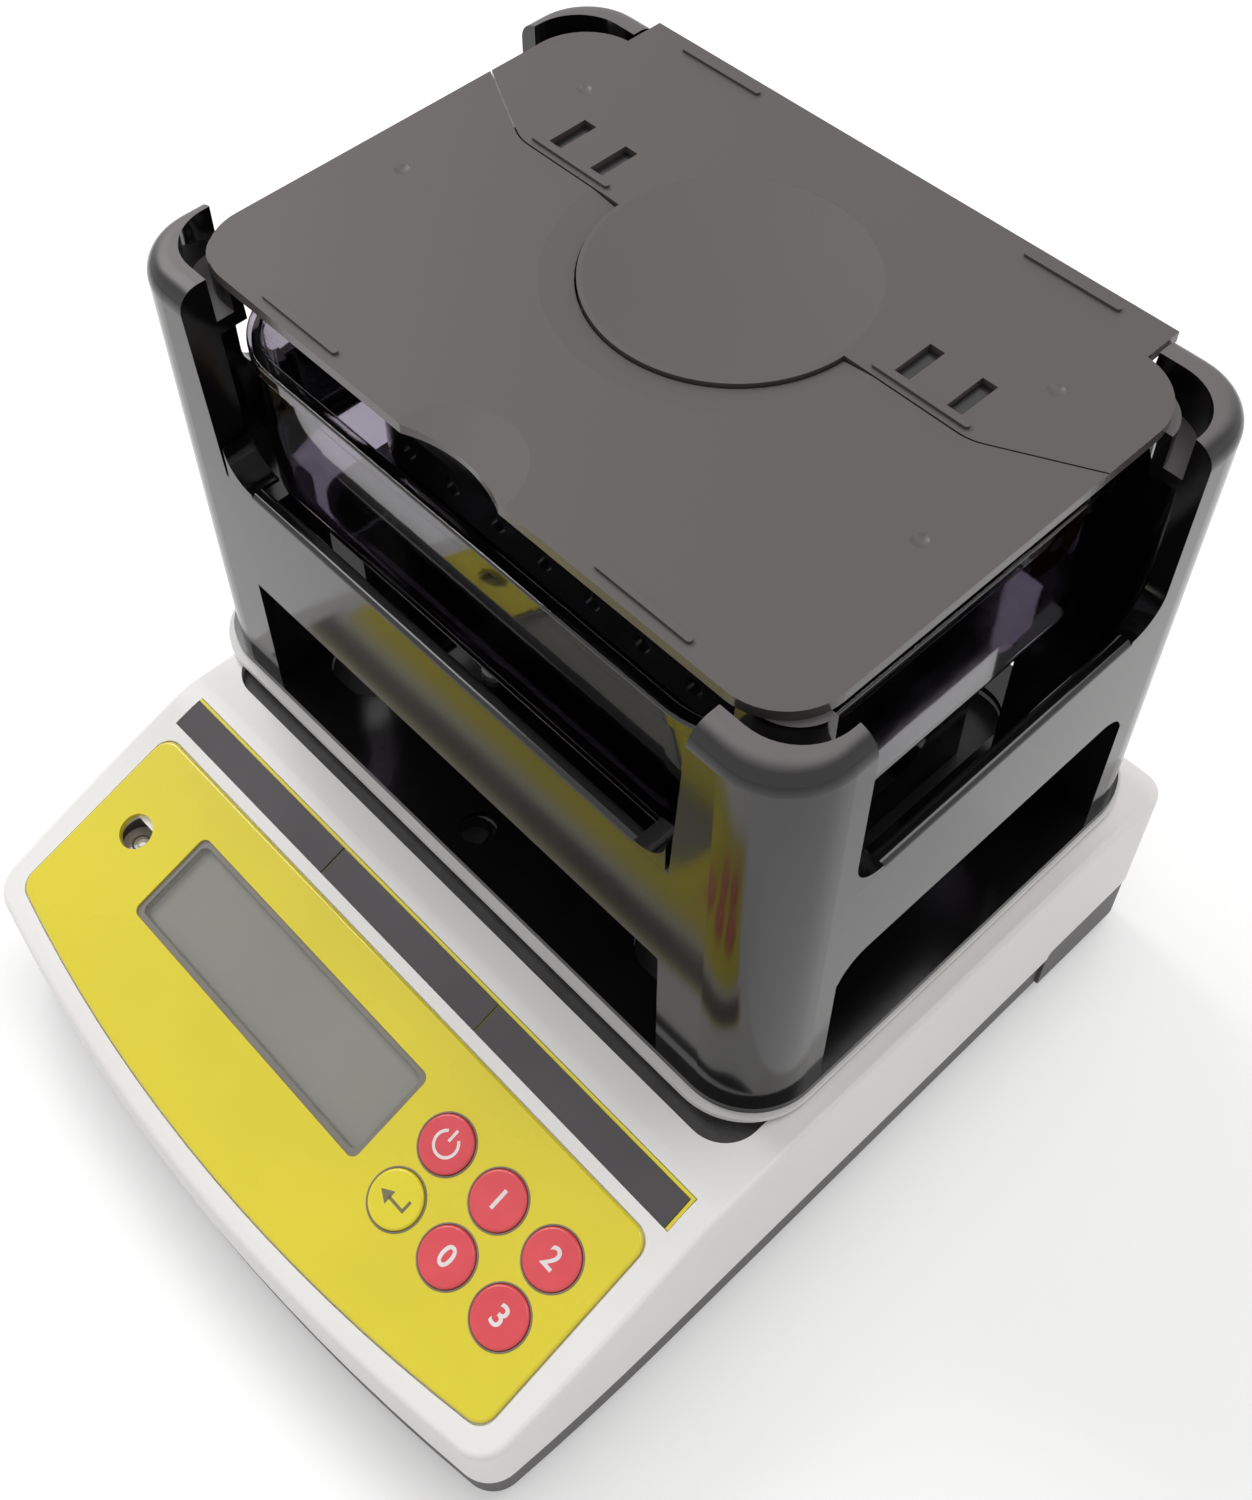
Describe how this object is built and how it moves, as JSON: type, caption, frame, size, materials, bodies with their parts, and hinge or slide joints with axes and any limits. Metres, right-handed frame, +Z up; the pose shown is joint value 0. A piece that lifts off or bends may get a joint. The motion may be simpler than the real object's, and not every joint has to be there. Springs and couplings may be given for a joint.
{
  "type": "electronic gold tester",
  "caption": "Counter-top density balance for gold: sloping keypad, black weighing frame with lid and dish, hanging basket and clear water tank.",
  "frame": {"origin": "middle of the footprint at counter level, under the levelling feet", "axes": "+X to the user's right, +Y to the back, +Z up"},
  "size_m": [0.1916, 0.216, 0.1791],
  "materials": {
    "white_housing": "fine satin moulded white",
    "dark_base": "satin dark grey",
    "yellow_panel": "glossy yellow",
    "grey_ring": "satin grey",
    "dark_strip": "glossy dark grey",
    "display_grey": "satin grey",
    "display_pane": "clear",
    "display_glass": "grey-green liquid-crystal glass",
    "level_vial": "pale liquid in a clear vial",
    "circuit_board": "green solder mask",
    "switch_black": "black moulded parts",
    "steel_screw": "zinc plated",
    "battery_case": "dark grey case",
    "socket_metal": "nickel plated",
    "black_mat": "fine grained",
    "cell_aluminium": "machined",
    "pale_pan": "satin off-white",
    "black_frame": "glossy black",
    "lid_grey": "fine matt grey",
    "hanger_grey": "translucent grey",
    "clear_tank": "clear moulded plastic",
    "tab_grey": "pale grey",
    "red_key": "satin red",
    "yellow_key": "satin yellow",
    "foot_rubber": "black"
  },
  "bodies": {
    "housing": {"upper_housing": "white_housing", "base_shell": "dark_base", "keypad_panel": "yellow_panel", "key_rings": "grey_ring", "strip_trim": "yellow_panel", "strip_cover_left": "dark_strip", "strip_cover_middle": "dark_strip", "strip_cover_right": "dark_strip", "display_bezel": "display_grey", "display_window": "display_pane", "display_module": "display_glass", "level_vial": "level_vial", "level_holder": "dark_base", "keypad_board": "circuit_board", "key_switches": "switch_black", "housing_screws": "steel_screw", "battery": "battery_case", "main_board": "circuit_board", "board_parts": "switch_black", "dc_jack": "switch_black", "serial_port": "socket_metal", "recess_mat": "black_mat", "load_cell": "cell_aluminium", "load_cell_seat": "cell_aluminium", "load_cell_screws": "steel_screw", "tank_stand": "black_frame"},
    "weighing_pan": {"pan_spider": "cell_aluminium", "pan_plate": "pale_pan", "weighing_frame": "black_frame", "frame_screws": "steel_screw"},
    "dish_and_basket": {"rear_plate": "lid_grey", "hanger_left": "hanger_grey", "hanger_right": "hanger_grey", "basket": "hanger_grey"},
    "tank_cover": {"front_plate": "lid_grey"},
    "tank": {"water_tank": "clear_tank", "tank_tabs": "tab_grey"},
    "key_upper_left": {"key_upper_left": "red_key"},
    "key_upper_middle": {"key_upper_middle": "red_key"},
    "key_upper_right": {"key_upper_right": "red_key"},
    "key_lower_left": {"key_lower_left": "yellow_key"},
    "key_lower_middle": {"key_lower_middle": "red_key"},
    "key_lower_right": {"key_lower_right": "red_key"},
    "foot_front_left": {"foot_wheel_front_left": "dark_base", "foot_pad_front_left": "foot_rubber"},
    "foot_front_right": {"foot_wheel_front_right": "dark_base", "foot_pad_front_right": "foot_rubber"},
    "foot_rear_left": {"foot_wheel_rear_left": "dark_base", "foot_pad_rear_left": "foot_rubber"},
    "foot_rear_right": {"foot_wheel_rear_right": "dark_base", "foot_pad_rear_right": "foot_rubber"}
  },
  "joints": [
    {"name": "pan_deflection", "type": "slide", "parent": "housing", "child": "weighing_pan", "axis": [0, 0, 1], "range_m": [-0.0002, 0], "stiffness_N_per_m": 12000, "springref_m": 0.0012},
    {"name": "dish_and_basket_lift", "type": "slide", "parent": "weighing_pan", "child": "dish_and_basket", "axis": [0, 0, 1], "range_m": [0, 0.08]},
    {"name": "tank_cover_lift", "type": "slide", "parent": "dish_and_basket", "child": "tank_cover", "axis": [0, 0, 1], "range_m": [0, 0.05]},
    {"name": "tank_lift", "type": "slide", "parent": "housing", "child": "tank", "axis": [0, 0, 1], "range_m": [0, 0.002]},
    {"name": "key_upper_left_press", "type": "slide", "parent": "housing", "child": "key_upper_left", "axis": [0, 0.3305, -0.9438], "range_m": [0, 0.0005], "stiffness_N_per_m": 400, "springref_m": -0.001},
    {"name": "key_upper_middle_press", "type": "slide", "parent": "housing", "child": "key_upper_middle", "axis": [0, 0.3305, -0.9438], "range_m": [0, 0.0005], "stiffness_N_per_m": 400, "springref_m": -0.001},
    {"name": "key_upper_right_press", "type": "slide", "parent": "housing", "child": "key_upper_right", "axis": [0, 0.3305, -0.9438], "range_m": [0, 0.0005], "stiffness_N_per_m": 400, "springref_m": -0.001},
    {"name": "key_lower_left_press", "type": "slide", "parent": "housing", "child": "key_lower_left", "axis": [0, 0.3305, -0.9438], "range_m": [0, 0.0005], "stiffness_N_per_m": 400, "springref_m": -0.001},
    {"name": "key_lower_middle_press", "type": "slide", "parent": "housing", "child": "key_lower_middle", "axis": [0, 0.3305, -0.9438], "range_m": [0, 0.0005], "stiffness_N_per_m": 400, "springref_m": -0.001},
    {"name": "key_lower_right_press", "type": "slide", "parent": "housing", "child": "key_lower_right", "axis": [0, 0.3305, -0.9438], "range_m": [0, 0.0005], "stiffness_N_per_m": 400, "springref_m": -0.001},
    {"name": "foot_front_left_turn", "type": "hinge", "parent": "housing", "child": "foot_front_left", "pos_m": [-0.0662, -0.085, 0.005], "axis": [0, 0, 1], "range_deg": [-360, 360]},
    {"name": "foot_front_right_turn", "type": "hinge", "parent": "housing", "child": "foot_front_right", "pos_m": [0.0773, -0.085, 0.005], "axis": [0, 0, 1], "range_deg": [-360, 360]},
    {"name": "foot_rear_left_turn", "type": "hinge", "parent": "housing", "child": "foot_rear_left", "pos_m": [-0.0662, 0.088, 0.005], "axis": [0, 0, 1], "range_deg": [-360, 360]},
    {"name": "foot_rear_right_turn", "type": "hinge", "parent": "housing", "child": "foot_rear_right", "pos_m": [0.0773, 0.088, 0.005], "axis": [0, 0, 1], "range_deg": [-360, 360]}
  ]
}
